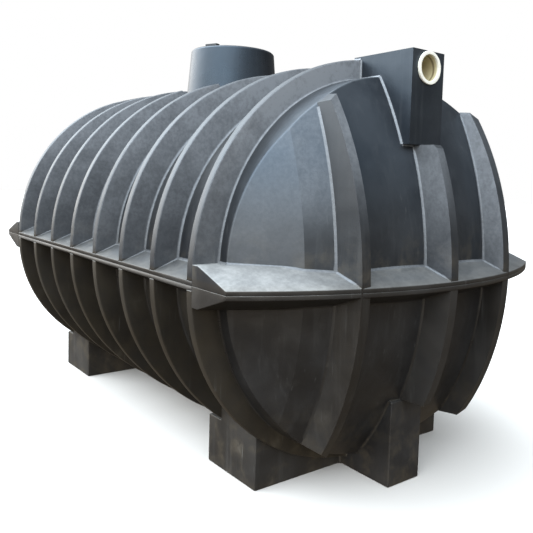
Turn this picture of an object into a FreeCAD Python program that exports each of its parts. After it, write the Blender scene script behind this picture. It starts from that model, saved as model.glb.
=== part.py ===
import FreeCAD, Part
import os
import re
import Sketcher

# A horizontal moulded polyethylene septic tank, in millimetres.
# X is across the tank, Y runs along it from the inlet end to the outlet end and Z is up.
# The origin is on the ground under the middle of the tank.
# The ends are drawn about the parting plane, the round walls and hoops about the flange's face.
# A lower half is drawn upwards with its own sizes and then turned over.

SIZES = {
    "mid_height": 920,
    "hoop_count": 8,
    "hoop_pitch": 316,
    "hoop_width": 42,
    "hoop_depth": 112,
    "rim_radius": 940,
    "lower_flattening": 83,
    "wall": 10,
    "seat": 0.3,
    "crown_spread": 0.84,
    "flange_half": 17.5,
    "flange_slope": 0.4,
    "flange_cap": 82,
    "flange_bow": 1835,
    "flange_reach": 494,
    "stub_radius": 822,
    "upper_stub_rise": 50,
    "lower_stub_rise": 12,
    "centre_depth": 374,
    "shoulder_depth": 332,
    "crease_x": 600,
    "crease_depth": 255,
    "skirt_x": 840,
    "skirt_depth": 40,
    "upper_bulge": 1660,
    "lower_bulge": 1310,
    "end_rib_x": 449,
    "end_rib_width": 45,
    "end_rib_root": 200,
    "end_rib_draft": 0.15,
    "side_rib_reach": 434,
    "side_rib_bulge": 1360,
    "centre_rib_reach": 491,
    "centre_rib_bulge": 1500,
    "centre_rib_shelf": 368,
    "box_half_width": 100,
    "box_reach": 303,
    "box_base": 573,
    "box_top": 966,
    "box_wall": 12,
    "pipe_height": 895,
    "pipe_bore": 55,
    "sleeve_wall": 5,
    "collar_radius": 69.5,
    "collar_proud": 10,
    "sleeve_length": 95,
    "neck_y": 73,
    "neck_foot": 760,
    "neck_base_radius": 262,
    "neck_top_radius": 245,
    "neck_rise": 196,
    "neck_wall": 12,
    "neck_ledge": 10,
    "neck_edge": 8,
    "neck_clear": 4,
    "near_gap": 212,
    "far_gap": 268,
    "gap_slant": 50,
    "lid_thickness": 22,
    "lid_sink": 4,
    "lug_length": 78,
    "lug_width": 30,
    "lug_height": 16,
    "lug_radius": 200,
    "lug_angle": 201,
    "foot_half_width": 595,
    "foot_length": 375,
    "foot_top": 692,
    "saddle_top": 560,
    "toe_half_width": 99,
    "toe_reach": 268,
    "toe_top": 535,
}

DERIVED = {
    "barrel_radius": "=rim_radius - hoop_depth",
    "tank_length": "=(hoop_count - 1) * hoop_pitch + hoop_width",
    "half_span": "=tank_length / 2",
    "bay_gap": "=hoop_pitch - hoop_width",
    "upper_height": "=mid_height + flange_half",
    "lower_height": "=mid_height - flange_half",
    "bow_centre": "=flange_bow - flange_reach - half_span",
    "slope_end": "=bow_centre - flange_bow + (flange_cap - flange_half) / flange_slope",
    "foot_front": "=hoop_width + seat - half_span",
    "foot_shift": "=(hoop_count - 2) * hoop_pitch",
    "box_front": "=0 - half_span - box_reach",
    "neck_height": "=rim_radius + neck_rise",
    "neck_inside": "=neck_top_radius - neck_wall",
    "neck_draft": "=(neck_base_radius - neck_top_radius) / neck_rise",
    "neck_foot_radius": "=neck_base_radius + (rim_radius - neck_foot) * neck_draft",
    "beyond": "=2 * rim_radius",
}

KNOWN = set(SIZES) | set(DERIVED)
ORIGIN = FreeCAD.Vector(0, 0, 0)
UP = FreeCAD.Vector(0, 0, 1)
LEFTWARDS = FreeCAD.Vector(-1, 0, 0)
ACROSS, ALONG, UPRIGHT = (1, 0, 0), (0, 1, 0), (0, 0, 1)
# Turns a sketch so that its own axes run along the tank and upwards
SIDE_ON = FreeCAD.Rotation(FreeCAD.Vector(1, 1, 1), 120)
# Turns a sketch so that its own axes run across the tank and upwards
END_ON = FreeCAD.Rotation(FreeCAD.Vector(1, 0, 0), 90)
# Leaves a sketch lying flat
FLAT = FreeCAD.Rotation()


def write_sheet(doc):
    """Write the driving sizes, and what follows from them, into the spreadsheet."""
    sheet = doc.addObject("Spreadsheet::Sheet", "Sizes")
    for row, (alias, value) in enumerate({**SIZES, **DERIVED}.items(), start=1):
        sheet.set(f"A{row}", alias)
        sheet.set(f"B{row}", str(value))
        sheet.setAlias(f"B{row}", alias)
    doc.recompute()


def sized(formula):
    """Put the sheet's name before each alias in a formula."""
    def prefix(match):
        word = match.group(0)
        return f"Sizes.{word}" if word in KNOWN else word
    return re.sub(r"[A-Za-z_]\w*", prefix, str(formula))


def bind(item, **formulas):
    """Tie properties of an object to formulas; a double underscore stands for a dot."""
    for path, formula in formulas.items():
        item.setExpression(path.replace("__", "."), sized(formula))
    return item


def value_of(doc, formula):
    return float(doc.Sizes.evalExpression(sized(formula)))


def combine(doc, kind, name, base, tool):
    """Cut or intersect two objects."""
    result = doc.addObject(f"Part::{kind}", name)
    result.Base = base
    result.Tool = tool
    return result


def gather(doc, kind, name, items):
    """Fuse or intersect several objects."""
    result = doc.addObject(f"Part::{kind}", name)
    result.Shapes = items
    return result


def grouped(doc, name, items):
    """Several solids as one object."""
    result = doc.addObject("Part::Compound", name)
    result.Links = items
    return result


def block(doc, name, x, y, z):
    """A box given by a (start, length) pair of formulas for each axis."""
    box = doc.addObject("Part::Box", name)
    for axis, size, (start, length) in zip("xyz", ("Length", "Width", "Height"), (x, y, z)):
        box.setExpression(f"Placement.Base.{axis}", sized(start))
        box.setExpression(size, sized(length))
    return box


def above(doc, name, start="0"):
    """Everything above a height."""
    wide = ("0 - beyond", "2 * beyond")
    return block(doc, name, wide, wide, (start, "beyond"))


def round_bar(doc, name, radius, start, length):
    """A round bar along the tank."""
    bar = doc.addObject("Part::Cylinder", name)
    bar.Placement.Rotation = END_ON
    return bind(bar, Radius=radius, Height=length, Placement__Base__y=f"{start} + ({length})")


def oval_bar(doc, name, half_width, half_height, start, length):
    """A bar along the tank that is wider than it is tall."""
    oval = doc.addObject("Part::Ellipse", f"{name}_outline")
    bind(oval, MajorRadius=half_width, MinorRadius=half_height)
    bar = doc.addObject("Part::Extrusion", name)
    bar.Base = oval
    bar.DirMode = "Custom"
    bar.Dir = UP
    bar.Solid = True
    bar.Placement.Rotation = END_ON
    return bind(bar, LengthFwd=length, Placement__Base__y=f"{start} + ({length})")


def bar_along(doc, name, half, radius, start="0 - beyond", length="2 * beyond"):
    """A round bar for the upper half, or the flattened one of the lower half."""
    if half == "upper":
        return round_bar(doc, name, radius, start, length)
    return oval_bar(doc, name, radius, f"{radius} - lower_flattening", start, length)


def free_sketch(doc, name, turn):
    sketch = doc.addObject("Sketcher::SketchObject", name)
    sketch.Placement = FreeCAD.Placement(ORIGIN, turn)
    return sketch


def tie(sketch, geometry, corner):
    """Tie the start of a line to a pair of formulas."""
    for axis, formula in zip(("DistanceX", "DistanceY"), corner):
        value = value_of(sketch.Document, formula)
        number = sketch.addConstraint(Sketcher.Constraint(axis, -1, 1, geometry, 1, value))
        sketch.setExpression(f"Constraints[{number}]", sized(formula))


def polygon(sketch, corners):
    """Draw a closed outline whose corners are tied to pairs of formulas."""
    doc = sketch.Document
    points = [FreeCAD.Vector(value_of(doc, a), value_of(doc, b), 0) for a, b in corners]
    count = len(points)
    for index in range(count):
        sketch.addGeometry(Part.LineSegment(points[index], points[(index + 1) % count]))
    for index in range(count):
        following = (index + 1) % count
        sketch.addConstraint(Sketcher.Constraint("Coincident", index, 2, following, 1))
    for index, corner in enumerate(corners):
        tie(sketch, index, corner)
    return sketch


def slab(doc, name, sketch, direction, length):
    """A sketch extruded along a direction."""
    piece = doc.addObject("Part::Extrusion", name)
    piece.Base = sketch
    piece.DirMode = "Custom"
    piece.Dir = FreeCAD.Vector(*direction)
    piece.Solid = True
    return bind(piece, LengthFwd=length)


def turned(doc, name, sketch, axis, angle):
    """A sketch swept round an axis."""
    piece = doc.addObject("Part::Revolution", name)
    piece.Source = sketch
    piece.Axis = axis
    piece.Angle = angle
    piece.Solid = True
    return piece


def mirrored(doc, name, item, normal):
    """A mirror image of an object through one of the centre planes."""
    twin = doc.addObject("Part::Mirroring", name)
    twin.Source = item
    twin.Base = ORIGIN
    twin.Normal = FreeCAD.Vector(*normal)
    return twin


def body_origin(body, role):
    return next(item for item in body.Origin.OriginFeatures if item.Role == role)


def body_sketch(body, role, offset="0"):
    """A sketch on one of the body's origin planes, moved off it by a formula."""
    sketch = body.newObject("Sketcher::SketchObject", f"{body.Name}_sketch")
    sketch.AttachmentSupport = [(body_origin(body, role), "")]
    sketch.MapMode = "FlatFace"
    return bind(sketch, AttachmentOffset__Base__z=offset)


def pad(body, sketch, length):
    """A pad that runs from its sketch towards the outlet end."""
    feature = body.newObject("PartDesign::Pad", f"{sketch.Name}_pad")
    feature.Profile = sketch
    feature.Reversed = True
    return bind(feature, Length=length)


def revolve(body, sketch, axis):
    """A full turn of a sketch about one of its own axes."""
    feature = body.newObject("PartDesign::Revolution", f"{body.Name}_turn")
    feature.Profile = sketch
    feature.ReferenceAxis = (sketch, [axis])
    feature.Angle = 360
    return feature


class Pieces:
    """The finished pieces of the tank, each with its label and its height."""

    def __init__(self, doc):
        self.doc = doc
        self.items = []

    def add(self, item, label, height="mid_height"):
        item.Label = label
        bind(item, Placement__Base__z=height)
        self.items.append(item)
        return item

    def add_twin(self, item, label, normal):
        twin = mirrored(self.doc, f"{label}_twin", item, normal)
        twin.Label = label
        self.items.append(twin)
        return twin


def half_barrel(doc, half):
    """Half of the round wall standing on the flange: its crown or keel strip and one flank."""
    outer = bar_along(doc, f"{half}_wall_outer", half, "barrel_radius", "0 - half_span", "tank_length")
    inner = bar_along(doc, f"{half}_wall_inner", half, "barrel_radius - wall")
    pipe = combine(doc, "Cut", f"{half}_pipe", outer, inner)
    shell = combine(doc, "Common", f"{half}_shell", pipe, above(doc, f"{half}_space"))
    spread = "crown_spread * beyond"
    outline = polygon(free_sketch(doc, f"{half}_fan_outline", END_ON), [
        ("0", "0"), (spread, "beyond"), (f"0 - {spread}", "beyond")])
    bind(outline, Placement__Base__y="0 - beyond")
    fan = slab(doc, f"{half}_fan", outline, ALONG, "2 * beyond")
    strip = combine(doc, "Common", f"{half}_strip", shell, fan)
    flanks = combine(doc, "Cut", f"{half}_flanks", shell, fan)
    left_space = block(doc, f"{half}_left_space", ("0 - beyond", "beyond"),
                       ("0 - beyond", "2 * beyond"), ("0", "beyond"))
    return strip, combine(doc, "Common", f"{half}_left", flanks, left_space)


def build_barrel(doc, pieces):
    """The round wall in six strips, with the crown cut away round the manhole neck."""
    crown, upper_left = half_barrel(doc, "upper")
    opening = doc.addObject("Part::Cone", "neck_space")
    bind(opening, Radius1="neck_foot_radius + seat", Radius2="neck_top_radius + seat",
         Height="neck_height - neck_foot", Placement__Base__y="neck_y", Placement__Base__z="neck_foot")
    crown = combine(doc, "Cut", "crown_with_manhole", crown, opening)
    pieces.add(crown, "barrel_crown", "upper_height")
    pieces.add(upper_left, "barrel_upper_left", "upper_height")
    pieces.add_twin(upper_left, "barrel_upper_right", ACROSS)
    keel, lower_left = half_barrel(doc, "lower")
    pieces.add(mirrored(doc, "keel_below", keel, UPRIGHT), "barrel_keel", "lower_height")
    below = mirrored(doc, "lower_left_below", lower_left, UPRIGHT)
    pieces.add(below, "barrel_lower_left", "lower_height")
    pieces.add_twin(below, "barrel_lower_right", ACROSS)


def half_hoop(doc, half):
    """Half of one hoop, standing on the flange, at the start of its own frame."""
    rim = bar_along(doc, f"{half}_rim", half, "rim_radius", "0", "hoop_width")
    bore = bar_along(doc, f"{half}_rim_bore", half, "barrel_radius + seat")
    ring = combine(doc, "Cut", f"{half}_ring", rim, bore)
    return combine(doc, "Common", f"{half}_hoop", ring, above(doc, f"{half}_hoop_space"))


def hoop_at_neck(doc, hoop, gap):
    """An upper half hoop that stops short of the manhole neck on both sides."""
    slanted = f"{gap} + gap_slant"
    corners = [(gap, "barrel_radius / 2"), (gap, "barrel_radius"), (slanted, "rim_radius + 1")]
    outline = polygon(free_sketch(doc, f"{gap}_outline", END_ON),
                      corners + [(f"0 - ({x})", z) for x, z in reversed(corners)])
    bind(outline, Placement__Base__y="0 - hoop_width")
    space = slab(doc, f"{gap}_space", outline, ALONG, "3 * hoop_width")
    return combine(doc, "Cut", f"hoop_with_{gap}", hoop, space)


def build_hoops(doc, pieces):
    """Eight hoops; the two that meet the neck are cut away beside it."""
    upper = half_hoop(doc, "upper")
    lower = mirrored(doc, "lower_hoop_below", half_hoop(doc, "lower"), UPRIGHT)
    bind(lower, Placement__Base__z="0 - 2 * flange_half")
    at_neck = {4: hoop_at_neck(doc, upper, "near_gap"), 5: hoop_at_neck(doc, upper, "far_gap")}
    for number in range(1, SIZES["hoop_count"] + 1):
        hoop = grouped(doc, f"hoop_set_{number}", [at_neck.get(number, upper), lower])
        bind(hoop, Placement__Base__y=f"{number - 1} * hoop_pitch - half_span")
        pieces.add(hoop, f"hoop_{number}", "upper_height")


def side_flange(doc, half):
    """One side's parting flange: a band with a sloped fillet in each bay between hoops."""
    body = doc.addObject("PartDesign::Body", f"{half}_flange_band")
    inner = "barrel_radius - wall"
    band = body_sketch(body, "XZ_Plane", "half_span")
    polygon(band, [(inner, "0"), ("rim_radius", "0"), ("rim_radius", "flange_half"),
                   (inner, "flange_half")])
    pad(body, band, "tank_length")
    slope = body_sketch(body, "XZ_Plane", "half_span - hoop_width")
    inner_height = "flange_half + flange_slope * (hoop_depth + wall)"
    polygon(slope, [(inner, "flange_half"), ("rim_radius", "flange_half"), (inner, inner_height)])
    fillet = pad(body, slope, "bay_gap")
    doc.recompute()
    pattern = body.newObject("PartDesign::LinearPattern", f"{half}_bays")
    pattern.Originals = [fillet]
    pattern.Direction = (body_origin(body, "Y_Axis"), [""])
    bind(pattern, Length="(hoop_count - 2) * hoop_pitch", Occurrences="hoop_count - 1")
    body.Tip = pattern
    bar = bar_along(doc, f"{half}_flange_bore", half, "barrel_radius + seat")
    bind(bar, Placement__Base__z="flange_half")
    space = above(doc, f"{half}_flange_space", "flange_half")
    bore = combine(doc, "Common", f"{half}_flange_seat", bar, space)
    return combine(doc, "Cut", f"{half}_side_flange", body, bore)


def build_side_flanges(doc, pieces):
    upper = side_flange(doc, "upper")
    lower = mirrored(doc, "lower_side_flange_below", side_flange(doc, "lower"), UPRIGHT)
    for item, half in ((upper, "upper"), (lower, "lower")):
        pieces.add(item, f"flange_right_{half}")
        pieces.add_twin(item, f"flange_left_{half}", ACROSS)


def stub(doc, name, radius, rise):
    """The round outline of an end, centred a little off the parting plane."""
    bar = round_bar(doc, name, radius, "0 - half_span - beyond", "beyond")
    return bind(bar, Placement__Base__z=rise)


def roll(doc, name, near, far, bulge, inset):
    """A cylinder lying under one upright panel, through the panel's two (x, depth) edges."""
    (near_x, near_depth), (far_x, far_depth) = near, far
    turn = f"atan2({near_depth} - {far_depth}; {far_x} - ({near_x}))"
    radius = f"{bulge} / cos({turn})"
    cylinder = doc.addObject("Part::Cylinder", name)
    return bind(cylinder, Radius=f"{radius} - {inset}", Height="2 * beyond",
                Placement__Rotation__Axis__x=f"0 - sin({turn})",
                Placement__Rotation__Axis__y=f"cos({turn})",
                Placement__Rotation__Axis__z="0",
                Placement__Rotation__Angle="90",
                Placement__Base__x=f"{near_x} - {radius} * sin({turn}) - beyond * cos({turn})",
                Placement__Base__y=f"{bulge} - half_span - {near_depth} - beyond * sin({turn})")


def dome(doc, name, inset, rise, bulge):
    """The bulged, creased end as one solid, with every face set in by a formula."""
    centre, shoulder = ("0", "centre_depth"), ("0 - end_rib_x", "shoulder_depth")
    crease, skirt = ("0 - crease_x", "crease_depth"), ("0 - skirt_x", "skirt_depth")
    left = gather(doc, "MultiCommon", f"{name}_left", [
        roll(doc, f"{name}_middle_roll", shoulder, centre, bulge, inset),
        roll(doc, f"{name}_inner_roll", crease, shoulder, bulge, inset),
        roll(doc, f"{name}_outer_roll", skirt, crease, bulge, inset)])
    return gather(doc, "MultiCommon", name, [
        left, mirrored(doc, f"{name}_right", left, ACROSS),
        stub(doc, f"{name}_stub", f"stub_radius - {inset}", rise), above(doc, f"{name}_upward")])


def end_wedge(doc, half):
    """The bowed end flange with nothing cut away: a sloped band rising to a level top."""
    outline = polygon(free_sketch(doc, f"{half}_taper", SIDE_ON), [
        ("bow_centre - flange_bow", "0"), ("bow_centre - flange_bow", "flange_half"),
        ("slope_end", "flange_cap"), ("hoop_pitch - half_span", "flange_cap"),
        ("hoop_pitch - half_span", "0")])
    wedge = bind(turned(doc, f"{half}_taper_turn", outline, UP, 80), Base__y="bow_centre")
    wedge.Symmetric = True
    space = block(doc, f"{half}_taper_space", ("0 - rim_radius", "2 * rim_radius"),
                  ("0 - half_span - beyond", "beyond"), ("0", "beyond"))
    return combine(doc, "Common", f"{half}_wedge", wedge, space)


def rib(doc, name, x, reach, bulge):
    """An upright rib: its tapering plan swept round a level axis far behind the end."""
    front = f"0 - half_span - {reach}"
    back = f"{front} + end_rib_root"
    rim, root = "end_rib_width / 2", "(end_rib_width / 2 + end_rib_root * end_rib_draft)"
    plan = polygon(free_sketch(doc, f"{name}_plan", FLAT), [
        (f"{x} - {rim}", front), (f"{x} + {rim}", front),
        (f"{x} + {root}", back), (f"{x} - {root}", back)])
    return bind(turned(doc, name, plan, LEFTWARDS, 50), Base__y=f"{front} + {bulge}")


def rib_stop(doc, half):
    """The space over a centre rib: under the box with its chamfer, or at the toe."""
    if half == "lower":
        return above(doc, "lower_rib_stop", "toe_top - seat")
    shelf, top = "0 - half_span - centre_rib_shelf", "box_base - seat"
    outline = polygon(free_sketch(doc, "upper_rib_stop_outline", SIDE_ON), [
        (shelf, top), (f"{shelf} - stub_radius / 2", f"{top} - stub_radius / 2"),
        (f"{shelf} - stub_radius / 2", "beyond"), ("0", "beyond"), ("0", top)])
    bind(outline, Placement__Base__x="0 - beyond")
    return slab(doc, "upper_rib_stop", outline, ACROSS, "2 * beyond")


def end_ribs(doc, half, spaces, rise, side_bulge, centre_bulge):
    """Three upright ribs on the end, flush with its outline at their tops."""
    side = rib(doc, f"{half}_side_rib", "end_rib_x", "side_rib_reach", side_bulge)
    centre = rib(doc, f"{half}_centre_rib", "0", "centre_rib_reach", centre_bulge)
    stopped = combine(doc, "Cut", f"{half}_centre_rib_stopped", centre, rib_stop(doc, half))
    ribs = []
    for item in (side, stopped):
        outline = stub(doc, f"{item.Name}_outline", "stub_radius", rise)
        trimmed = combine(doc, "Common", f"{item.Name}_trimmed", item, outline)
        ribs.append(combine(doc, "Cut", f"{item.Name}_seated", trimmed, spaces))
    ribs.append(mirrored(doc, f"{half}_side_rib_twin", ribs[0], ACROSS))
    return grouped(doc, f"{half}_end_ribs", ribs)


def half_end(doc, half, rise, bulge, rib_bulge, centre_rib_bulge):
    """The dome's space, and the dome, flange and ribs of one half of one end."""
    space = dome(doc, f"{half}_dome_space", "0", rise, bulge)
    outer = dome(doc, f"{half}_dome_outer", "seat", rise, bulge)
    inner = dome(doc, f"{half}_dome_inner", "wall", rise, bulge)
    shell = combine(doc, "Cut", f"{half}_dome", outer, inner)
    wedge = end_wedge(doc, half)
    flange = combine(doc, "Cut", f"{half}_end_flange", wedge, space)
    seats = gather(doc, "MultiFuse", f"{half}_rib_seats", [space, wedge])
    ribs = end_ribs(doc, half, seats, rise, rib_bulge, centre_rib_bulge)
    return space, {"end": shell, "flange": flange, "ribs": ribs}


def inlet_box(doc, dome_space):
    """The tall hollow box over the centre rib, which carries the pipe socket."""
    outer = block(doc, "box_outer", ("0 - box_half_width", "2 * box_half_width"),
                  ("box_front", "box_reach + hoop_width"), ("box_base", "box_top - box_base"))
    inner = block(doc, "box_inner", ("box_wall - box_half_width", "2 * (box_half_width - box_wall)"),
                  ("box_front + box_wall", "box_reach - 2 * box_wall"),
                  ("box_base + box_wall", "box_top - box_base - 2 * box_wall"))
    rim = round_bar(doc, "box_rim_space", "rim_radius + seat", "0 - half_span", "hoop_width + seat")
    bind(rim, Placement__Base__z="flange_half")
    hole = round_bar(doc, "box_pipe_hole", "pipe_bore + sleeve_wall + seat",
                     "box_front - box_wall", "3 * box_wall")
    bind(hole, Placement__Base__z="pipe_height")
    spaces = gather(doc, "MultiFuse", "box_spaces", [inner, rim, hole, dome_space])
    return combine(doc, "Cut", "box_hollow", outer, spaces)


def pipe_sockets(doc):
    """Both pipe sockets: a collar against each box's face and a sleeve through its wall."""
    body = doc.addObject("PartDesign::Body", "inlet_socket")
    sketch = body_sketch(body, "YZ_Plane")
    face, sleeve_end = "box_front - seat", "box_front + sleeve_length"
    sleeve_radius = "pipe_bore + sleeve_wall"
    polygon(sketch, [
        (f"{face} - collar_proud", "pipe_bore"), (f"{face} - collar_proud", "collar_radius"),
        (face, "collar_radius"), (face, sleeve_radius),
        (sleeve_end, sleeve_radius), (sleeve_end, "pipe_bore")])
    revolve(body, sketch, "H_Axis")
    return grouped(doc, "socket_pair", [body, mirrored(doc, "outlet_socket", body, ALONG)])


def build_ends(doc, pieces):
    """Both ends in upper and lower halves, with their boxes and sockets."""
    upper_space, upper = half_end(doc, "upper", "upper_stub_rise", "upper_bulge",
                                  "side_rib_bulge", "centre_rib_bulge")
    lower_space, lower = half_end(doc, "lower", "lower_stub_rise", "lower_bulge",
                                  "lower_bulge", "lower_bulge")
    for kind, item in upper.items():
        pieces.add(item, f"inlet_{kind}_upper")
        pieces.add_twin(item, f"outlet_{kind}_upper", ALONG)
    for kind, item in lower.items():
        below = mirrored(doc, f"{kind}_below", item, UPRIGHT)
        pieces.add(below, f"inlet_{kind}_lower")
        pieces.add_twin(below, f"outlet_{kind}_lower", ALONG)
    box = pieces.add(inlet_box(doc, upper_space), "inlet_box")
    pieces.add_twin(box, "outlet_box", ALONG)
    pieces.add(pipe_sockets(doc), "pipe_sockets", "mid_height + pipe_height")
    return mirrored(doc, "dome_space_below", lower_space, UPRIGHT)


def round_space(doc, name, radius, start, length):
    """The room taken under the parting plane by the barrel or by one hoop."""
    space = bar_along(doc, name, "lower", f"{radius} + seat", start, length)
    return bind(space, Placement__Base__z="0 - flange_half")


def foot(doc):
    """The saddle foot: a block under two hoops that rises between them to the barrel."""
    wide = ("0 - foot_half_width", "2 * foot_half_width")
    base = block(doc, "foot_base", wide, ("foot_front", "foot_length"),
                 ("0 - mid_height", "mid_height - foot_top"))
    saddle = block(doc, "foot_saddle", wide, ("foot_front", "bay_gap - 2 * seat"),
                   ("0 - mid_height", "mid_height - saddle_top"))
    barrel_space = round_space(doc, "foot_barrel_space", "barrel_radius", "0 - beyond", "2 * beyond")
    rim_space = round_space(doc, "foot_rim_space", "rim_radius", "hoop_pitch - half_span - seat",
                            "hoop_width + 2 * seat")
    solid = gather(doc, "MultiFuse", "foot_solid", [base, saddle])
    spaces = gather(doc, "MultiFuse", "foot_spaces", [barrel_space, rim_space])
    return combine(doc, "Cut", "foot_fitted", solid, spaces)


def toe(doc, name, back, dome_space):
    """The narrow toe that runs forward from a foot, under the end hoop and the end."""
    solid = block(doc, f"{name}_block", ("0 - toe_half_width", "2 * toe_half_width"),
                  ("0 - half_span - toe_reach", f"toe_reach + half_span + {back}"),
                  ("0 - mid_height", "mid_height - toe_top"))
    rim_space = round_space(doc, f"{name}_rim_space", "rim_radius", "0 - half_span - seat",
                            "hoop_width + 2 * seat")
    spaces = gather(doc, "MultiFuse", f"{name}_spaces", [rim_space, dome_space])
    return combine(doc, "Cut", name, solid, spaces)


def build_feet(doc, pieces, dome_space):
    """Both feet stand the same way round, so the outlet toe is the shorter one."""
    shape = foot(doc)
    pieces.add(grouped(doc, "foot_in_place", [shape]), "inlet_foot")
    moved = bind(grouped(doc, "foot_moved", [shape]), Placement__Base__y="foot_shift")
    outlet_space = mirrored(doc, "outlet_dome_space", dome_space, ALONG)
    pieces.add(combine(doc, "Cut", "foot_under_end", moved, outlet_space), "outlet_foot")
    pieces.add(toe(doc, "inlet_toe_solid", "foot_front", dome_space), "inlet_toe")
    short_toe = toe(doc, "outlet_toe_solid", "(0 - foot_front - foot_shift - foot_length)", dome_space)
    facing_outlet = mirrored(doc, "outlet_toe_turned", short_toe, ALONG)
    pieces.add(facing_outlet, "outlet_toe")


def build_neck(doc, pieces):
    """The manhole turret, set through the crown, with a ledge inside for its lid."""
    body = doc.addObject("PartDesign::Body", "neck_turned")
    sketch = body_sketch(body, "XZ_Plane")
    slanted_top = "neck_top_radius + neck_edge * neck_draft"
    ledge_height = "neck_height - lid_sink - lid_thickness"
    polygon(sketch, [
        ("neck_inside - neck_ledge", "neck_foot"), ("neck_foot_radius", "neck_foot"),
        (slanted_top, "neck_height - neck_edge"), ("neck_top_radius - neck_edge", "neck_height"),
        ("neck_inside", "neck_height"), ("neck_inside", ledge_height),
        ("neck_inside - neck_ledge", ledge_height)])
    revolve(body, sketch, "V_Axis")
    bind(body, Placement__Base__y="neck_y")
    pieces.add(body, "neck", "upper_height")


def build_lid(doc, pieces):
    """The flat lid with two grip lugs near its edge."""
    disc = doc.addObject("Part::Cylinder", "lid_disc")
    bind(disc, Radius="neck_inside - neck_clear", Height="lid_thickness",
         Placement__Base__z="neck_height - lid_sink - lid_thickness")
    lugs = [block(doc, f"lug_{side}", (f"{side} * lug_radius - lug_width / 2", "lug_width"),
                  ("0 - lug_length / 2", "lug_length"),
                  ("neck_height - lid_sink", "lug_height + lid_sink")) for side in (-1, 1)]
    lid = gather(doc, "MultiFuse", "lid_with_lugs", [disc] + lugs)
    lid.Placement.Rotation = FreeCAD.Rotation(UP, 1)
    bind(lid, Placement__Rotation__Angle="lug_angle", Placement__Base__y="neck_y")
    pieces.add(lid, "lid", "upper_height")


def check(doc, pieces):
    """Stop if any feature failed or a piece has no sound solid."""
    for item in doc.Objects:
        if any(word in item.State for word in ("Invalid", "Error")):
            raise RuntimeError(f"{item.Name} failed: {item.State}")
    for item in pieces.items:
        if item.Shape.isNull() or not item.Shape.isValid() or not item.Shape.Solids:
            raise RuntimeError(f"{item.Label} has no sound solid")


def main():
    doc = FreeCAD.newDocument("septic_tank")
    write_sheet(doc)
    pieces = Pieces(doc)
    build_barrel(doc, pieces)
    build_hoops(doc, pieces)
    build_side_flanges(doc, pieces)
    dome_space_below = build_ends(doc, pieces)
    build_feet(doc, pieces, dome_space_below)
    build_neck(doc, pieces)
    build_lid(doc, pieces)
    doc.recompute()
    check(doc, pieces)
    os.makedirs("parts", exist_ok=True)
    for item in pieces.items:
        item.Shape.exportStep(f"parts/{item.Label}.step")
        box = item.Shape.BoundBox
        print(f"{item.Label}: {len(item.Shape.Solids)} solids, {item.Shape.Volume / 1e6:.2f} litres, "
              f"x {box.XMin:.0f}..{box.XMax:.0f} y {box.YMin:.0f}..{box.YMax:.0f} "
              f"z {box.ZMin:.0f}..{box.ZMax:.0f}")


main()
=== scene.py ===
import math

import bmesh
import bpy
from mathutils import Matrix, Vector
from mathutils.bvhtree import BVHTree


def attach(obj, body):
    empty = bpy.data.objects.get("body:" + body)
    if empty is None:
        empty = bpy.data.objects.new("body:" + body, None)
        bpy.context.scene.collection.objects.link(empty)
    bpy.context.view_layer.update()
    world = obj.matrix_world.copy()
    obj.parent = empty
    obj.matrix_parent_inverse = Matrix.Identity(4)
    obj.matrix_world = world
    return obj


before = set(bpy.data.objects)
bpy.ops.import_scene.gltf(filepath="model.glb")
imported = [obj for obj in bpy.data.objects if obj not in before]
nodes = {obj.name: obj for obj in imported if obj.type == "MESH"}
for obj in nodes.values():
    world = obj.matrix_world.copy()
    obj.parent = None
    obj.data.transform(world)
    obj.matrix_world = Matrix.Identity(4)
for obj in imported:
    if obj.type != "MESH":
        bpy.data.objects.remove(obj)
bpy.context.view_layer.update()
scene = bpy.context.scene


def highest(name, axis):
    """A CAD node's highest place along an axis."""
    return max(vertex.co[axis] for vertex in nodes[name].data.vertices)


LIP_Y = highest("pipe_sockets", 1)
PARTING_HEIGHT = highest("flange_left_lower", 2)


# Camera: where the photograph was taken from, with angles in degrees

FRAME_PIXELS = 533
SENSOR_MM = 36.0
CAMERA_SPOT = Vector((-2.1373, -3.2224, 1.3336))
CAMERA_YAW, CAMERA_PITCH, CAMERA_ROLL = 38.44, -4.49, 1.72
CAMERA_FOCAL_PIXELS = 640.5
CAMERA_CENTRE_PIXELS = (290.19, 229.32)
CAMERA_REACH = 200.0


def place_camera():
    """Put the camera at the photograph's viewpoint."""
    yaw, pitch, roll = (math.radians(a) for a in (CAMERA_YAW, CAMERA_PITCH, CAMERA_ROLL))
    forward = Vector((math.sin(yaw) * math.cos(pitch), math.cos(yaw) * math.cos(pitch), math.sin(pitch)))
    level_right = Vector((math.cos(yaw), -math.sin(yaw), 0))
    level_up = level_right.cross(forward)
    right = math.cos(roll) * level_right + math.sin(roll) * level_up
    up = -math.sin(roll) * level_right + math.cos(roll) * level_up
    data = bpy.data.cameras.new("camera")
    data.sensor_width = SENSOR_MM
    data.lens = CAMERA_FOCAL_PIXELS / FRAME_PIXELS * SENSOR_MM
    centre_x, centre_y = CAMERA_CENTRE_PIXELS
    data.shift_x = (FRAME_PIXELS / 2 - centre_x) / FRAME_PIXELS
    data.shift_y = (centre_y - FRAME_PIXELS / 2) / FRAME_PIXELS
    data.clip_end = CAMERA_REACH
    camera = bpy.data.objects.new("camera", data)
    turn = Matrix((right, up, -forward)).transposed()
    camera.matrix_world = Matrix.Translation(CAMERA_SPOT) @ turn.to_4x4()
    scene.collection.objects.link(camera)
    scene.camera = camera


# Node graphs


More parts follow.
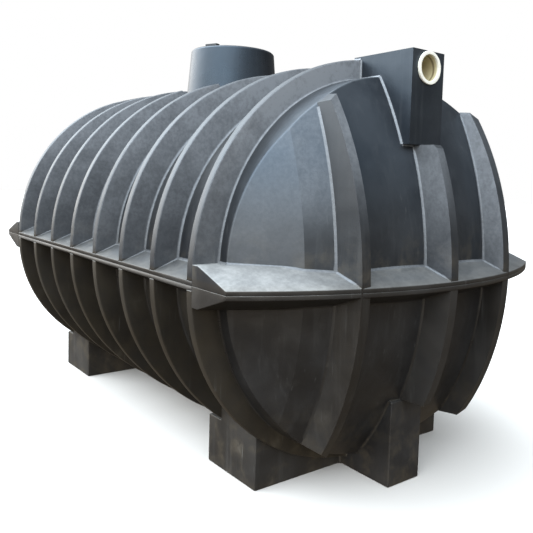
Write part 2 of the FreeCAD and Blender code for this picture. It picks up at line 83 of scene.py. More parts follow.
class Graph:
    """Short ways to build a node tree. Ranges are pairs of (start, end)."""

    def __init__(self, tree):
        self.tree = tree

    def fill(self, socket, value):
        """Set an input to a value, or link it to another node's output."""
        if isinstance(value, bpy.types.NodeSocket):
            self.tree.links.new(value, socket)
        else:
            socket.default_value = value

    def node(self, kind, inputs=None, **settings):
        """Add a node, set its properties and fill its inputs."""
        item = self.tree.nodes.new(kind)
        for key, value in settings.items():
            setattr(item, key, value)
        for key, value in (inputs or {}).items():
            self.fill(item.inputs[key], value)
        return item

    def math(self, operation, a, b=0.0, clamp=False):
        """One step of arithmetic on two values."""
        return self.node("ShaderNodeMath", {0: a, 1: b}, operation=operation, use_clamp=clamp).outputs[0]

    def product(self, *factors):
        """All the factors multiplied."""
        result = factors[0]
        for factor in factors[1:]:
            result = self.math("MULTIPLY", result, factor)
        return result

    def ramp(self, value, span, results=(0.0, 1.0)):
        """A smooth step of a value from one range to another."""
        item = self.node("ShaderNodeMapRange",
                         {0: value, 1: span[0], 2: span[1], 3: results[0], 4: results[1]},
                         interpolation_type="SMOOTHSTEP")
        return item.outputs[0]

    def parts(self, vector):
        """A vector's three numbers."""
        return self.node("ShaderNodeSeparateXYZ", {0: vector}).outputs

    def towards(self, vector, direction):
        """How far a vector points in a direction, from -1 to 1."""
        item = self.node("ShaderNodeVectorMath", {0: vector, 1: direction}, operation="DOT_PRODUCT")
        return item.outputs["Value"]

    def noise(self, vector, scale, detail=4.0, rough=0.55, distortion=0.0):
        """A cloudy pattern from 0 to 1."""
        item = self.node("ShaderNodeTexNoise", {"Vector": vector, "Scale": scale, "Detail": detail,
                                                "Roughness": rough, "Distortion": distortion})
        return item.outputs["Fac"]

    def stretched(self, vector, scale, shift=(0, 0, 0), turn=(0, 0, 0)):
        """Coordinates that are scaled, shifted and turned."""
        return self.node("ShaderNodeMapping", {"Vector": vector, "Scale": scale, "Location": shift,
                                               "Rotation": turn}).outputs[0]

    def mix(self, share, under, over):
        """Two colours blended, with a share of the second over the first."""
        item = self.node("ShaderNodeMix", data_type="RGBA")
        for index, value in ((0, share), (6, under), (7, over)):
            self.fill(item.inputs[index], value)
        return item.outputs[2]


class Paint(Graph):
    """A new material's graph, and its shader."""

    def __init__(self, name):
        self.material = bpy.data.materials.new(name)
        self.material.use_nodes = True
        super().__init__(self.material.node_tree)
        self.shader = self.tree.nodes["Principled BSDF"]
        self.origin = self.node("ShaderNodeTexCoord").outputs["Object"]

    def shade(self, **results):
        """Fill the shader's sockets, named with _ for a space."""
        for name, result in results.items():
            self.fill(self.shader.inputs[name.replace("_", " ")], result)

    def bump(self, height, strength, distance, under=None):
        """Relief on the surface, laid over another relief if one is given."""
        inputs = {"Height": height, "Strength": strength, "Distance": distance}
        if under:
            inputs["Normal"] = under
        return self.node("ShaderNodeBump", inputs).outputs[0]


# Moulded plastic

BLACK = (0.0085, 0.009, 0.0105, 1.0)
WORN_BLACK = (0.020, 0.021, 0.023, 1.0)
DUST = (0.26, 0.26, 0.25, 1.0)
SCRATCH = (0.15, 0.15, 0.145, 1.0)
STREAK = (0.042, 0.043, 0.044, 1.0)
# The haze colour is partly dust and partly painted light on the lit upper faces.
HAZE_AND_PAINTED_LIGHT = (0.190, 0.200, 0.213, 1.0)
SOIL = (0.028, 0.023, 0.016, 1.0)
MUD = (0.055, 0.045, 0.031, 1.0)
# Specular tints: painted reflection colours, warm for the ground below and cool or blue for the sky above.
WARM_PAINTED_REFLECTION = (1.0, 0.92, 0.80, 1.0)
COOL_PAINTED_REFLECTION = (0.86, 0.94, 1.0, 1.0)
BLUE_PAINTED_REFLECTION = (0.58, 0.79, 1.0, 1.0)
POLYETHYLENE_IOR = 1.52

# Places, as ranges in metres: heights over the parting plane or the ground, and places across the tank


def over_parting(start, end):
    """A range of heights over the parting plane."""
    return PARTING_HEIGHT + start, PARTING_HEIGHT + end


UPPER_START = over_parting(0.02, 0.04)
UPPER_HALF = over_parting(-0.02, 0.88)
DOME_RISE = over_parting(0.08, 0.78)
PANEL_RISE = over_parting(0.16, 0.38)
RIB_SIDE_RISE = over_parting(0.03, 0.48)
RIB_RIM_RISE = over_parting(0.18, 0.58)
# Heights over which the painted reflection tint turns from cool to its upper tint.
PAINTED_REFLECTION_RISE = over_parting(0.13, 0.53)
FLANGE_SPLASH = over_parting(0.28, 0.04)
GROUND_SPLASH = (0.50, 0.12)
# The range across the tank over which painted shade fades the dust towards the right.
SHADE_ACROSS = (-0.75, -0.35)
RIBS_ACROSS = (-0.4, 0.5)
MIDDLE_RIB = (-0.1, 0.1)

# Patterns: scale, detail, roughness and distortion of a noise, and how its coordinates are changed

BLOTCH = (2.6, 5.0, 0.6)
CLOUD = (9.0, 7.0, 0.65, 0.4)
SPECK = (60.0, 6.0, 0.7)
PATCH = (4.2, 3.0)
RUN = (1.0, 6.0, 0.6, 0.6)
LINES = (1.0, 2.0, 0.5)
RIPPLE = (5.5, 2.0, 0.45)
PEEL = (110.0, 3.0)
PATTERN_STEP = (3.1, 1.7, 2.3)
RUN_STRETCH = (26, 26, 1.3)
LINE_STRETCH = (95, 95, 3)
LINE_TURNS = ((0.5, 0.3, 0.9), (-0.4, 0.8, 0.2))
MID_TONES = (0.3, 0.7)
GRAIN_TONES = (0.35, 0.65)

# Relief: strength, and height in metres

RIPPLE_RELIEF = (1.0, 0.004)
PEEL_RELIEF = (0.3, 0.0006)
MARK_RELIEF = (0.2, 0.001)


class Plastic(Paint):
    """A moulded plastic's graph, with the places, directions and patterns that its layers share."""

    def __init__(self, name, seed):
        super().__init__(name)
        self.place = self.stretched(self.origin, (1, 1, 1), [seed * step for step in PATTERN_STEP])
        self.across, _, self.height = self.parts(self.origin)
        normal = self.node("ShaderNodeNewGeometry").outputs["Normal"]
        normal_x, normal_y, self.facing_up = self.parts(normal)
        self.facing_left = self.math("MULTIPLY", normal_x, -1.0)
        self.facing_along = self.math("ABSOLUTE", normal_y)
        self.blotch = self.noise(self.place, *BLOTCH)
        self.cloud = self.noise(self.place, *CLOUD)
        self.speck = self.noise(self.place, *SPECK)
        self.patch = self.ramp(self.noise(self.place, *PATCH), (0.5, 0.66))
        self.upper = self.ramp(self.height, UPPER_START)
        self.lower = self.math("SUBTRACT", 1.0, self.upper)


def no_haze_or_painted_light(skin):
    """Faces that stay black, with no haze and no painted light."""
    return 0.0


def fillet_painted_highlight(skin):
    """A painted highlight line in every inner corner, brighter towards the top."""
    # Painted highlight along the fillets.
    return skin.ramp(skin.height, UPPER_HALF, (0.5, 0.9))


def hoop_haze_and_painted_light(skin):
    """Haze on a hoop's flat sides, partly dust and partly painted light that grows towards the top; the rim
    is left bare.
    """
    side = skin.ramp(skin.facing_along, (0.5, 0.9))
    # Painted light: the haze grows towards the top, where the light falls.
    return skin.product(side, skin.ramp(skin.height, UPPER_HALF, (0.3, 1.15)))


def dome_painted_light(skin):
    """Painted light on the two panels of an end wall that face the light from the left, stronger towards
    the top.
    """
    # Painted light: faces turned to the light from the left are lightened.
    side_panel = skin.product(skin.ramp(skin.facing_left, (0.42, 0.64)),
                              skin.ramp(skin.height, DOME_RISE, (0.14, 0.4)))
    next_panel = skin.product(skin.ramp(skin.facing_left, (0.34, 0.42)),
                              skin.ramp(skin.facing_left, (0.48, 0.58), (1.0, 0.0)),
                              skin.ramp(skin.height, PANEL_RISE, (0.0, 0.34)))
    end = skin.ramp(skin.facing_along, (0.15, 0.45))
    return skin.product(end, skin.math("ADD", side_panel, next_panel))


def rib_painted_light(skin):
    """Painted light on a rib's side that faces the light from the left, and on its rim near the top."""
    # Painted light: the lit sides and the upper rim are lightened.
    side = skin.product(skin.ramp(skin.facing_left, (0.6, 0.9)),
                        skin.ramp(skin.across, RIBS_ACROSS, (0.0, 1.1)),
                        skin.ramp(skin.height, RIB_SIDE_RISE, (0.5, 1.0)))
    rim = skin.product(skin.ramp(skin.facing_along, (0.75, 0.9)),
                       skin.ramp(skin.height, RIB_RIM_RISE),
                       skin.ramp(skin.across, MIDDLE_RIB, (0.6, 0.1)))
    return skin.math("ADD", side, rim)


def haze_and_painted_light_film(skin, haze_and_light):
    """The haze as a mottled film, on the upper half only: partly dust, partly painted light where the light
    falls.
    """
    mottle = skin.product(skin.ramp(skin.blotch, MID_TONES, (0.75, 1.05)),
                          skin.ramp(skin.cloud, MID_TONES, (0.8, 1.12)))
    grain = skin.ramp(skin.speck, GRAIN_TONES, (0.8, 1.12))
    return skin.product(skin.upper, mottle, grain, haze_and_light(skin))


def run_marks(skin, amount):
    """Narrow marks that run down the walls."""
    run = skin.noise(skin.stretched(skin.place, RUN_STRETCH), *RUN)
    return skin.math("MULTIPLY", skin.ramp(run, (0.5, 0.72)), amount)


def scratches(skin, amount):
    """Short scratches in two directions, in patches."""
    lines = 0.0
    for turn in LINE_TURNS:
        pattern = skin.noise(skin.stretched(skin.place, LINE_STRETCH, turn=turn), *LINES)
        lines = skin.math("MAXIMUM", lines, skin.ramp(pattern, (0.66, 0.76)))
    return skin.product(lines, skin.patch, amount)


def rubbed_spots(skin, amount):
    """Spots that are rubbed pale, in the same patches as the scratches."""
    return skin.product(skin.ramp(skin.cloud, (0.55, 0.72)), skin.patch, amount)


def settled_dust_and_painted_shade(skin, amount):
    """Dust on faces that look up, with painted shade that makes it fainter towards the right, away from the
    light.
    """
    level = skin.ramp(skin.facing_up, (0.15, 0.95))
    # Painted shade: the dust fades towards the right, away from the light.
    shade_across = skin.ramp(skin.across, SHADE_ACROSS, (1.0, 0.45))
    drift = skin.ramp(skin.cloud, (0.3, 0.75), (0.65, 1.0))
    grain = skin.ramp(skin.speck, GRAIN_TONES, (0.85, 1.1))
    return skin.product(level, shade_across, drift, grain, amount)


def dried_soil(skin, amount):
    """A thin coat of soil on the lower half."""
    return skin.product(skin.lower, skin.ramp(skin.cloud, MID_TONES, (0.6, 1.0)), amount)


def splashed_mud(skin):
    """Mud near the ground, and in the corner over the parting flange."""
    near_ground = skin.ramp(skin.height, GROUND_SPLASH, (0.0, 0.6))
    near_flange = skin.product(skin.upper, skin.ramp(skin.height, FLANGE_SPLASH, (0.0, 0.55)))
    return skin.product(skin.math("ADD", near_ground, near_flange), skin.ramp(skin.cloud, (0.45, 0.70)))


def weathered_roughness(skin, rough, run_mark, worn):
    """The plastic's roughness, uneven in itself and duller under marks and wear."""
    uneven = (
        skin.ramp(skin.blotch, (0.3, 0.75), (-0.05, 0.09)),
        skin.math("MULTIPLY", skin.ramp(skin.cloud, (0.35, 0.7)), 0.07),
        skin.math("MULTIPLY", run_mark, 0.1),
    )
    for change in uneven:
        rough = skin.math("ADD", rough, change)
    return skin.math("ADD", rough, skin.math("MULTIPLY", worn, 0.25), clamp=True)


def moulded_relief(skin, marks):
    """Slow ripples from the mould, fine orange peel over them, and raised marks on top."""
    ripple = skin.bump(skin.noise(skin.place, *RIPPLE), *RIPPLE_RELIEF)
    fine = skin.math("ADD", skin.noise(skin.place, *PEEL), skin.speck)
    peel = skin.bump(fine, *PEEL_RELIEF, ripple)
    return skin.bump(marks, *MARK_RELIEF, peel)


def painted_reflection_tint(skin, upper_reflection_tint):
    """Painted reflection tint: warm on the lower half, cool above the parting plane, turning to the upper
    tint towards the top.
    """
    upper_reflection = skin.mix(skin.ramp(skin.height, PAINTED_REFLECTION_RISE), COOL_PAINTED_REFLECTION, upper_reflection_tint)
    return skin.mix(skin.upper, WARM_PAINTED_REFLECTION, upper_reflection)


def moulded_plastic(name, seed, dust=0.3, streaks=0.4, scuffs=0.3, rough=0.36, haze_and_light=no_haze_or_painted_light, soil=0.35,
                    upper_reflection_tint=COOL_PAINTED_REFLECTION):
    """Black rotationally moulded polyethylene under layers of weather and wear, among them haze with
    painted light, dust with painted shade, and a painted reflection tint.
    """
    skin = Plastic(name, seed)
    run_mark = run_marks(skin, streaks)
    scratch = scratches(skin, scuffs)
    rubbed = rubbed_spots(skin, scuffs)
    dust_and_shade = settled_dust_and_painted_shade(skin, dust)
    layers = (
        (run_mark, STREAK),
        (dried_soil(skin, soil), SOIL),
        (splashed_mud(skin), MUD),
        # Haze: partly dust and partly painted light.
        (haze_and_painted_light_film(skin, haze_and_light), HAZE_AND_PAINTED_LIGHT),
        # Dust, faded by painted shade towards the right.
        (dust_and_shade, DUST),
        (skin.math("MAXIMUM", scratch, skin.math("MULTIPLY", rubbed, 0.3)), SCRATCH),
    )
    colour = skin.mix(skin.ramp(skin.blotch, (0.35, 0.7)), BLACK, WORN_BLACK)
    for share, layer_colour in layers:
        colour = skin.mix(share, colour, layer_colour)
    worn = skin.math("ADD", dust_and_shade, rubbed)
    skin.shade(Base_Color=colour,
               Roughness=weathered_roughness(skin, rough, run_mark, worn),
               Normal=moulded_relief(skin, skin.math("ADD", scratch, run_mark)),
               IOR=POLYETHYLENE_IOR,
               # Specular tint: a painted reflection colour.
               Specular_Tint=painted_reflection_tint(skin, upper_reflection_tint))
    return skin.material


# One material for each family of nodes


def barrel_plastic():
    """The barrel between the hoops, with soil low down."""
    return moulded_plastic("barrel_plastic", 1, streaks=0.2, soil=0.8)


def hoop_plastic():
    """The hoops, with haze and painted light on their sides."""
    return moulded_plastic("hoop_plastic", 2, dust=0.2, streaks=0.15, haze_and_light=hoop_haze_and_painted_light, soil=0.9)


def end_plastic():
    """The domed end walls, with painted light on the panels that face the light, and a painted blue
    reflection tint towards the top.
    """
    return moulded_plastic("end_plastic", 3, dust=0.15, streaks=0.25, scuffs=0.15, haze_and_light=dome_painted_light, soil=0.2,
                           upper_reflection_tint=BLUE_PAINTED_REFLECTION)


def rib_plastic():
    """The upright ribs on the ends, with painted light on their lit sides."""
    return moulded_plastic("rib_plastic", 4, dust=0.2, streaks=0.3, scuffs=0.15, haze_and_light=rib_painted_light)


def end_flange_plastic():
    """The wide flanges at the ends, where dust lies thick."""
    return moulded_plastic("flange_plastic", 5, dust=0.9, streaks=0.0, scuffs=0.8)


def side_flange_plastic():
    """The narrow flanges along the sides, scuffed."""
    return moulded_plastic("side_flange_plastic", 12, dust=0.28, streaks=0.0, scuffs=1.0, rough=0.40)


def box_plastic():
    """The pipe boxes, with a painted blue reflection tint towards the top."""
    return moulded_plastic("box_plastic", 6, streaks=0.3, scuffs=0.1, upper_reflection_tint=BLUE_PAINTED_REFLECTION)


def foot_plastic():
    """The saddle feet, dull and scuffed."""
    return moulded_plastic("foot_plastic", 7, dust=0.2, scuffs=0.5, rough=0.45)


def toe_plastic():
    """The toes under the ends, dull and clean."""
    return moulded_plastic("toe_plastic", 11, dust=0.0, streaks=0.1, scuffs=0.1, rough=0.45, soil=0.1)


def fillet_plastic():
    """The moulded fillets, with a painted highlight along them."""
    return moulded_plastic("fillet_plastic", 10, dust=0.4, streaks=0.0, rough=0.3, haze_and_light=fillet_painted_highlight)


def neck_plastic():
    """The manhole neck, the smoothest part, with a painted blue reflection tint towards the top."""
    return moulded_plastic("neck_plastic", 8, dust=0.1, streaks=0.2, scuffs=0.0, rough=0.26,
                           upper_reflection_tint=BLUE_PAINTED_REFLECTION)


def lid_plastic():
    """The lid of the manhole."""
    return moulded_plastic("lid_plastic", 9, streaks=0.0, rough=0.42)


# Pipe sockets, with depths in metres behind the lip

LIP_DEPTH = (0.008, 0.014)
SEAL_START = (0.022, 0.026)
SEAL_END = (0.032, 0.036)
LIP_TONES = ((0.82, 0.80, 0.70, 1.0), (0.90, 0.88, 0.79, 1.0))
# Bore tones: darker than the lip, partly painted shade deep in the bore.
SHADED_BORE_TONES = ((0.56, 0.49, 0.29, 1.0), (0.64, 0.57, 0.36, 1.0))
SEAL = (0.16, 0.12, 0.06, 1.0)
GRIME = (0.40, 0.33, 0.20, 1.0)
GRIME_PATTERN = (22.0, 8.0, 0.7)
MOTTLE_PATTERN = (70.0, 4.0)
MOTTLE_RELIEF = (0.2, 0.0005)


def socket_plastic():
    """Cream pipe plastic: a clean lip, and a bore whose darker, yellower tone is partly its own colour and
    partly painted shade, with the dark line of its seal.
    """
    paint = Paint("socket_plastic")
    along = paint.parts(paint.origin)[1]
    depth = paint.math("SUBTRACT", LIP_Y, paint.math("ABSOLUTE", along))
    grime = paint.ramp(paint.noise(paint.origin, *GRIME_PATTERN), (0.52, 0.8))
    mottle = paint.noise(paint.origin, *MOTTLE_PATTERN)
    seal = paint.product(paint.ramp(depth, SEAL_START), paint.ramp(depth, SEAL_END, (1.0, 0.0)), 0.8)
    colour = paint.mix(paint.ramp(depth, LIP_DEPTH), paint.mix(mottle, *LIP_TONES),
                       paint.mix(mottle, *SHADED_BORE_TONES))
    colour = paint.mix(seal, colour, SEAL)
    colour = paint.mix(paint.math("MULTIPLY", grime, 0.35), colour, GRIME)
    paint.shade(Base_Color=colour,
                Roughness=paint.ramp(grime, (0.0, 1.0), (0.32, 0.6)),
                Normal=paint.bump(mottle, *MOTTLE_RELIEF))
    return paint.material


# Families of nodes


def named(*words):
    """The CAD nodes whose names hold all the words."""
    return [name for name in nodes if all(word in name for word in words)]


BARREL = named("barrel")
HOOPS = named("hoop")
END_WALLS = named("_end_")
RIBS = named("ribs")
SIDE_FLANGES = named("flange_left") + named("flange_right")
END_FLANGES = named("inlet_flange") + named("outlet_flange")
BOXES = named("_box")
FEET = named("foot")
TOES = named("toe")


def dress(names, material):
    """Give CAD nodes a material."""
    for name in names:
        mesh = nodes[name].data
        mesh.materials.clear()
        mesh.materials.append(material)


def dress_nodes(foot_material):
    """Give each family its material."""
    dress(BARREL, barrel_plastic())
    dress(HOOPS, hoop_plastic())
    dress(END_WALLS, end_plastic())
    dress(RIBS, rib_plastic())
    dress(END_FLANGES, end_flange_plastic())
    dress(SIDE_FLANGES, side_flange_plastic())
    dress(BOXES, box_plastic())
    dress(FEET, foot_material)
    dress(TOES, toe_plastic())
    dress(["neck"], neck_plastic())
    dress(["lid"], lid_plastic())
    dress(["pipe_sockets"], socket_plastic())


# Shading and rounded edges, with widths in metres

SHARP = math.radians(32)
FACET = math.radians(9)
WELD = 0.00005
HOOP_EDGE = 0.006
END_EDGE = 0.005
RIB_EDGE = 0.006
FLANGE_EDGE = 0.003
BLOCK_EDGE = 0.008
NECK_EDGE = 0.005
SOCKET_EDGE = 0.002


def smoothing(crease):
    """A modifier's node tree that shades smooth except across edges sharper than an angle."""
    tree = bpy.data.node_groups.new("smooth_by_angle", "GeometryNodeTree")
    tree.interface.new_socket("Geometry", in_out="INPUT", socket_type="NodeSocketGeometry")
    tree.interface.new_socket("Geometry", in_out="OUTPUT", socket_type="NodeSocketGeometry")
    graph = Graph(tree)
    start = graph.node("NodeGroupInput").outputs[0]
    whole = graph.node("GeometryNodeSetShadeSmooth",
                       {"Geometry": start, "Shade Smooth": True}, domain="FACE")
    angle = graph.node("GeometryNodeInputMeshEdgeAngle").outputs[0]
    sharp = graph.node("FunctionNodeCompare", {0: angle, 1: crease}, data_type="FLOAT",
                       operation="GREATER_THAN").outputs[0]
    cut = graph.node("GeometryNodeSetShadeSmooth",
                     {"Geometry": whole.outputs[0], "Selection": sharp, "Shade Smooth": False},
                     domain="EDGE")
    graph.node("NodeGroupOutput", {0: cut.outputs[0]})
    return tree


ROUND_SHADING = smoothing(SHARP)
FACET_SHADING = smoothing(FACET)


def shade_smooth(item, shading):
    """Smooth shading in which the large faces keep their own normals."""
    item.modifiers.new("smooth", "NODES").node_group = shading
    weighted = item.modifiers.new("weighted", "WEIGHTED_NORMAL")
    weighted.mode = "FACE_AREA_WITH_ANGLE"
    weighted.keep_sharp = True


def finish_edges(names, width=0.0, segments=2, shading=ROUND_SHADING):
    """Shade CAD nodes, and round their sharp edges if a width is given, by modifiers alone."""
    for name in names:
        item = nodes[name]
        item.modifiers.new("weld", "WELD").merge_threshold = WELD
        if width:
            bevel = item.modifiers.new("rounding", "BEVEL")
            bevel.width = width
            bevel.segments = segments
            bevel.limit_method = "ANGLE"
            bevel.angle_limit = SHARP
            bevel.use_clamp_overlap = True
        shade_smooth(item, shading)


def finish_nodes():
    """Shade and round each family."""
    finish_edges(BARREL)
    finish_edges(HOOPS, HOOP_EDGE)
    finish_edges(END_WALLS, END_EDGE, shading=FACET_SHADING)
    finish_edges(RIBS, RIB_EDGE)
    finish_edges(SIDE_FLANGES + END_FLANGES, FLANGE_EDGE)
    finish_edges(BOXES + FEET + TOES, BLOCK_EDGE, segments=3)
    finish_edges(["neck", "lid"], NECK_EDGE, segments=3)
    finish_edges(["pipe_sockets"], SOCKET_EDGE, segments=3)


# Moulded fillets in the inner corners where one CAD node stands on another, in metres

BARREL_FILLET = 0.012
FLANGE_FILLET = 0.008
END_FILLET = 0.010
FOOT_FILLET = 0.010
NECK_FILLET = 0.014
FILLET_STEPS = 4
NARROWED = (1.0, 0.6, 0.3)

TOUCHING = 0.0016
PROBE = 0.004
SUNK = 0.0006
ROOT_SUNK = 3 * SUNK
SNAP = 0.0015

# How alike two directions are, as the cosine of the angle between them

LEAST_RISE = 0.3
SAME_WAY = 0.8
SAME_PLANE = 0.9


def joined(names):
    """The joined meshes of some CAD nodes."""
    mesh = bmesh.new()
    for name in names:
        mesh.from_mesh(nodes[name].data)
    return mesh


def into_face(edge, face):
    """The direction in a face that leads away from one of its edges."""
    a, b = (v.co for v in edge.verts)
    along = (b - a).normalized()
    inward = face.normal.cross(along)
    return inward if inward.dot(face.calc_center_median() - a) > 0 else -inward


def corner(edge, tree, radius):
    """The directions up the shown face and out along the seat, and both normals, or None.

    An edge makes an inner corner where it touches the other nodes' surface, one of its faces
    rises from there, the other one is buried, and the surface goes on level in front of it.
    """
    middle = (edge.verts[0].co + edge.verts[1].co) / 2
    _, seat_normal, _, _ = tree.find_nearest(middle, TOUCHING)
    if seat_normal is None:
        return None
    for shown, hidden in (edge.link_faces, reversed(edge.link_faces)):
        up = into_face(edge, shown)
        _, buried, _, _ = tree.find_nearest(middle + into_face(edge, hidden) * PROBE, TOUCHING)
        if buried is None or up.dot(seat_normal) < LEAST_RISE:
            continue
        out = (shown.normal - shown.normal.dot(seat_normal) * seat_normal).normalized()
        landing, landing_normal, _, _ = tree.find_nearest(middle + out * radius)
        level = (landing - middle - out * radius).length < radius / 3
        if level and landing_normal.dot(seat_normal) > SAME_PLANE:
            return up, out, shown.normal.copy(), seat_normal.copy()
    return None


def corner_edges(mesh, tree, radius):
    """The sharp edges of a mesh that make an inner corner, each with its directions."""
    found = {}
    for edge in mesh.edges:
        if len(edge.link_faces) == 2 and edge.calc_face_angle(0.0) > SHARP:
            sides = corner(edge, tree, radius)
            if sides:
                found[edge] = sides
    return found


def goes_on(before, after):
    """Whether two corners have their faces turned the same way."""
    return all(before[k].dot(after[k]) > SAME_WAY for k in (0, 1))


def follow(tip, sides, found):
    """Walk on from a vertex along corner edges, and take each out of those found."""
    while True:
        step = next((e for e in tip.link_edges if e in found and goes_on(sides, found[e])), None)
        if step is None:
            return
        tip = step.other_vert(tip)
        sides = found.pop(step)
        yield tip, sides


def take_run(found):
    """Take one chain of corner edges out of those found, as (point, up, out, shown, seat) in order."""
    first = next(iter(found))
    sides = found.pop(first)
    start, end = first.verts
    ahead = list(follow(end, sides, found))
    behind = list(follow(start, sides, found))[::-1]
    tips = [tip for tip, _ in behind] + [start, end] + [tip for tip, _ in ahead]
    links = [link for _, link in behind] + [sides] + [link for _, link in ahead]
    run = []
    for index, tip in enumerate(tips):
        near = links[max(index - 1, 0):index + 1]
        directions = [sum((link[k] for link in near), Vector()).normalized() for k in range(4)]
        run.append((tip.co.copy(), *directions))
    return run


def contact(tree, point, direction, reach):
    """Where a fillet's edge meets a surface, sunk a little into it, or None past its border."""
    spot, normal, _, gap = tree.find_nearest(point + direction * reach)
    return spot - normal * SUNK if gap < SNAP else None


def fillet_edges(point, up, out, trees, radius):
    """Both edges of a fillet's section, which is narrowed where it has little room, or None."""
    for share in NARROWED:
        high = contact(trees[0], point, up, radius * share)
        low = contact(trees[1], point, out, radius * share)
        if high and low:
            return high, low
    return None


def section(point, high, low, shown, seat):
    """A fillet's section: a concave curve from edge to edge, and a root sunk into the corner."""
    curve = []
    for step in range(FILLET_STEPS + 1):
        s = step / FILLET_STEPS
        curve.append((1 - s) ** 2 * high + 2 * s * (1 - s) * point + s ** 2 * low)
    return curve + [point - shown * ROOT_SUNK - seat * ROOT_SUNK]


def add_strip(mesh, sections):
    """Join neighbouring sections into one closed strip."""
    if len(sections) < 2:
        return
    rows = [[mesh.verts.new(p) for p in points] for points in sections]
    count = len(rows[0])
    for before, after in zip(rows, rows[1:]):
        for k in range(count):
            j = (k + 1) % count
            mesh.faces.new((before[k], before[j], after[j], after[k]))
    mesh.faces.new(reversed(rows[0]))
    mesh.faces.new(rows[-1])


def sweep_fillet(mesh, run, trees, radius):
    """Sweep a fillet's section along one run, with gaps where there is no room."""
    sections = []
    for point, up, out, shown, seat in run:
        edges = fillet_edges(point, up, out, trees, radius)
        if edges:
            sections.append(section(point, *edges, shown, seat))
        else:
            add_strip(mesh, sections)
            sections = []
    add_strip(mesh, sections)


def add_fillets(mesh, standing, carrying, radius):
    """Add the fillets around some nodes where they stand on others."""
    carrier = joined(carrying)
    carrier_tree = BVHTree.FromBMesh(carrier)
    carrier.free()
    for name in standing:
        own = joined([name])
        own_tree = BVHTree.FromBMesh(own)
        bmesh.ops.remove_doubles(own, verts=own.verts, dist=WELD)
        found = corner_edges(own, carrier_tree, radius)
        while found:
            sweep_fillet(mesh, take_run(found), (own_tree, carrier_tree), radius)
        own.free()


def build_fillets(piece_name, groups, radius, material):
    """One piece with the fillets of several (standing nodes, carrying nodes) groups."""
    mesh = bmesh.new()
    for standing, carrying in groups:
        add_fillets(mesh, standing, carrying, radius)
    bmesh.ops.recalc_face_normals(mesh, faces=mesh.faces)
    data = bpy.data.meshes.new(piece_name)
    mesh.to_mesh(data)
    mesh.free()
    piece = bpy.data.objects.new(piece_name, data)
    scene.collection.objects.link(piece)
    data.materials.append(material)
    shade_smooth(piece, ROUND_SHADING)
    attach(piece, "root")


def fillet_end(end, hoop, material, foot_material):
    """The fillets of one end wall, and of the foot and the toe under it."""
    ribs, walls, rims, box = (named(end, word) for word in ("ribs", "_end_", "flange", "_box"))
    groups = [(ribs, walls + rims), (rims + box, walls), (walls, BARREL + [hoop]), (box, [hoop])]
    build_fillets(f"{end}_end_fillets", groups, END_FILLET, material)
    foot = f"{end}_foot"
    groups = [([foot], BARREL + HOOPS), ([f"{end}_toe"], [hoop, foot, f"{end}_end_lower"])]
    build_fillets(f"{end}_foot_fillets", groups, FOOT_FILLET, foot_material)


def fillet_nodes(material, foot_material):
    """The fillets of the whole tank."""
    build_fillets("barrel_fillets", [(HOOPS, BARREL)], BARREL_FILLET, material)
    build_fillets("flange_fillets", [(SIDE_FLANGES, HOOPS + BARREL)], FLANGE_FILLET, material)
    fillet_end("inlet", "hoop_1", material, foot_material)
    fillet_end("outlet", "hoop_8", material, foot_material)
    build_fillets("neck_fillets", [(["barrel_crown"], ["neck"])], NECK_FILLET, material)


# Stage

WHITE = (1.0, 1.0, 1.0, 1.0)
FLOOR_SIZE = 80
FLOOR_TONES = ((0.64, 0.60, 0.555, 1.0), (0.66, 0.625, 0.58, 1.0))
FLOOR_PATTERN = (0.8, 4.0)
GROUND = (0.165, 0.137, 0.102, 1.0)
AIR_TONES = ((1.0, 0.97, 0.93, 1.0), (0.80, 0.90, 1.0, 1.0))
AIR_LEVELS = (0.35, 1.2)
HORIZON = (-0.12, 0.08)
DARK_SIDE = Vector((0.90, 0.40, 0.0)).normalized()

# Each window: the direction of its middle, the cosines where its glow starts and is full, its strength

WINDOWS = (
    (Vector((-0.80, -0.05, 0.60)).normalized(), (0.25, 0.97), 3.8),
    (Vector((-0.10, 0.75, 0.62)).normalized(), (0.5, 0.97), 4.6),
    (Vector((-0.55, -0.65, 0.50)).normalized(), (0.4, 0.97), 1.0),
)


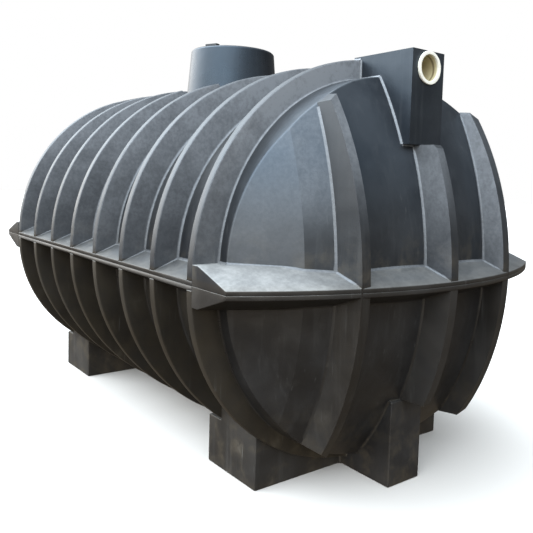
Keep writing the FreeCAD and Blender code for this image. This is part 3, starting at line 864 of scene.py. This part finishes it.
def floor_paint():
    """A dull, warm, nearly even tone."""
    paint = Paint("floor")
    paint.shade(Base_Color=paint.mix(paint.noise(paint.origin, *FLOOR_PATTERN), *FLOOR_TONES),
                Roughness=0.9,
                Specular_IOR_Level=0.1)
    return paint.material


def build_floor():
    """A plain pale floor that throws no light back on the tank."""
    bpy.ops.mesh.primitive_plane_add(size=FLOOR_SIZE)
    floor = bpy.context.object
    floor.name = "floor"
    floor.data.materials.append(floor_paint())
    floor.visible_diffuse = False
    floor.visible_glossy = False
    floor.visible_shadow = False


def air_level(graph, facing, height):
    """The light of the air and the windows in a direction, dimmed on the dark side."""
    level = graph.ramp(height, (-0.1, 0.7), AIR_LEVELS)
    for window, spread, strength in WINDOWS:
        glow = graph.ramp(graph.towards(facing, window), spread, (0.0, strength))
        level = graph.math("ADD", level, glow)
    shade = graph.ramp(graph.towards(facing, DARK_SIDE), (0.1, 0.7), (1.0, 0.25))
    return graph.math("MULTIPLY", level, shade)


def build_sky():
    """Soft studio light over a dark ground, which the camera itself sees as plain white."""
    world = bpy.data.worlds.new("studio")
    scene.world = world
    world.use_nodes = True
    graph = Graph(world.node_tree)
    facing = graph.node("ShaderNodeTexCoord").outputs["Generated"]
    height = graph.parts(facing)[2]
    above = graph.ramp(height, HORIZON)
    below = graph.math("SUBTRACT", 1.0, above)
    air = graph.mix(graph.ramp(height, (0.0, 0.6)), *AIR_TONES)
    light = graph.mix(above, GROUND, air)
    level = graph.math("ADD", graph.math("MULTIPLY", air_level(graph, facing, height), above), below)
    seen = graph.node("ShaderNodeLightPath").outputs["Is Camera Ray"]
    unseen = graph.math("SUBTRACT", 1.0, seen)
    back = world.node_tree.nodes["Background"]
    graph.fill(back.inputs["Color"], graph.mix(seen, light, WHITE))
    graph.fill(back.inputs["Strength"], graph.math("ADD", graph.math("MULTIPLY", level, unseen), seen))


# The whole scene

place_camera()
foot_skin = foot_plastic()
dress_nodes(foot_skin)
fillet_nodes(fillet_plastic(), foot_skin)
finish_nodes()
build_floor()
build_sky()
scene.view_settings.view_transform = "Standard"
